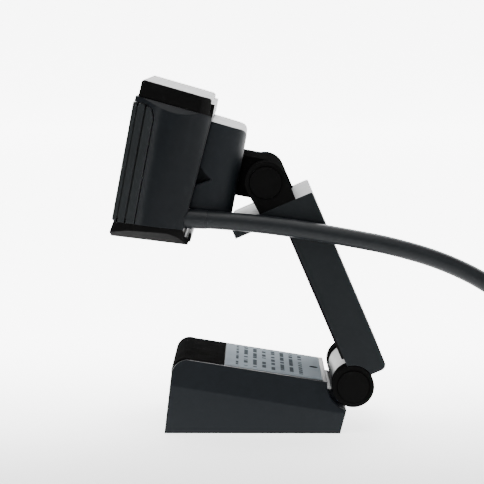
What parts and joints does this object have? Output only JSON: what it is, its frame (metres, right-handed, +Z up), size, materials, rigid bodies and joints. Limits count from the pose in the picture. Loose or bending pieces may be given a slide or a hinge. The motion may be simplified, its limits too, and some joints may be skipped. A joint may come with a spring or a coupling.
{
  "type": "webcam",
  "caption": "USB webcam on a folding two-hinge clip stand with a wedge base: tilting head, hooked arm, rubber grip pads, put-away cord and plug",
  "frame": {"origin": "on the table under the middle of the object, its cord left out", "axes": "+Z up, the lens looks towards -Y, both hinges run along X"},
  "size_m": [0.0828, 0.166, 0.0855],
  "materials": {
    "shell_plastic": "fine moulded texture, soft satin, dark blue grey",
    "black_plastic": "fine texture, black",
    "gloss_black": "polished black",
    "grip_rubber": "dull, near black",
    "label_foil": "silver-white label stock with plain printed bars",
    "steel": "turned and plated",
    "brass": "turned",
    "lens_glass": "coated glass",
    "board": "green solder mask",
    "sensor_glass": "dark glass over silicon",
    "light_pipe": "clear-white moulding",
    "foam": "closed-cell foam",
    "cord_jacket": "smooth PVC jacket",
    "contact_gold": "gold-plated",
    "tongue_plastic": "white insulator"
  },
  "bodies": {
    "base": {"base_shell": "shell_plastic", "base_bottom_plate": "black_plastic", "tripod_insert": "brass", "base_screws": "steel", "base_hinge_lug": "shell_plastic", "base_grip_pad": "grip_rubber", "rating_label": "label_foil", "cable": "cord_jacket", "cable_tail": "cord_jacket", "cable_coil": "cord_jacket", "coil_tie": "black_plastic", "plug_overmold": "black_plastic", "plug_shell": "steel", "plug_tongue": "tongue_plastic", "plug_contacts": "contact_gold"},
    "arm": {"arm_shell": "shell_plastic", "arm_inner_cover": "shell_plastic", "arm_grip_pad": "grip_rubber", "arm_screws": "steel", "lower_yoke": "black_plastic", "upper_yoke": "black_plastic", "lower_hinge_pin": "steel", "lower_pin_caps": "black_plastic", "lower_friction_washers": "steel", "upper_hinge_pin": "steel", "upper_pin_caps": "black_plastic", "upper_friction_washers": "steel"},
    "head": {"front_bezel": "shell_plastic", "front_panel": "gloss_black", "top_cover": "black_plastic", "bottom_cover": "black_plastic", "rear_shell": "shell_plastic", "rear_housing": "shell_plastic", "neck_bracket": "black_plastic", "main_board": "board", "image_sensor": "sensor_glass", "lens_holder": "black_plastic", "lens_barrel": "black_plastic", "front_lens": "lens_glass", "lens_ring": "black_plastic", "status_light": "light_pipe", "microphones": "steel", "mic_gaskets": "foam", "board_connector": "tongue_plastic", "board_screws": "steel", "neck_screws": "steel", "strain_relief": "cord_jacket"}
  },
  "joints": [
    {"name": "arm_fold", "type": "hinge", "parent": "base", "child": "arm", "pos_m": [0, 0.02515, 0.0116], "axis": [1, 0, 0], "range_deg": [-65, 56], "deforming": ["cable"]},
    {"name": "head_tilt", "type": "hinge", "parent": "arm", "child": "head", "pos_m": [0, 0.00391, 0.06092], "axis": [1, 0, 0], "range_deg": [-60, 12]}
  ]
}
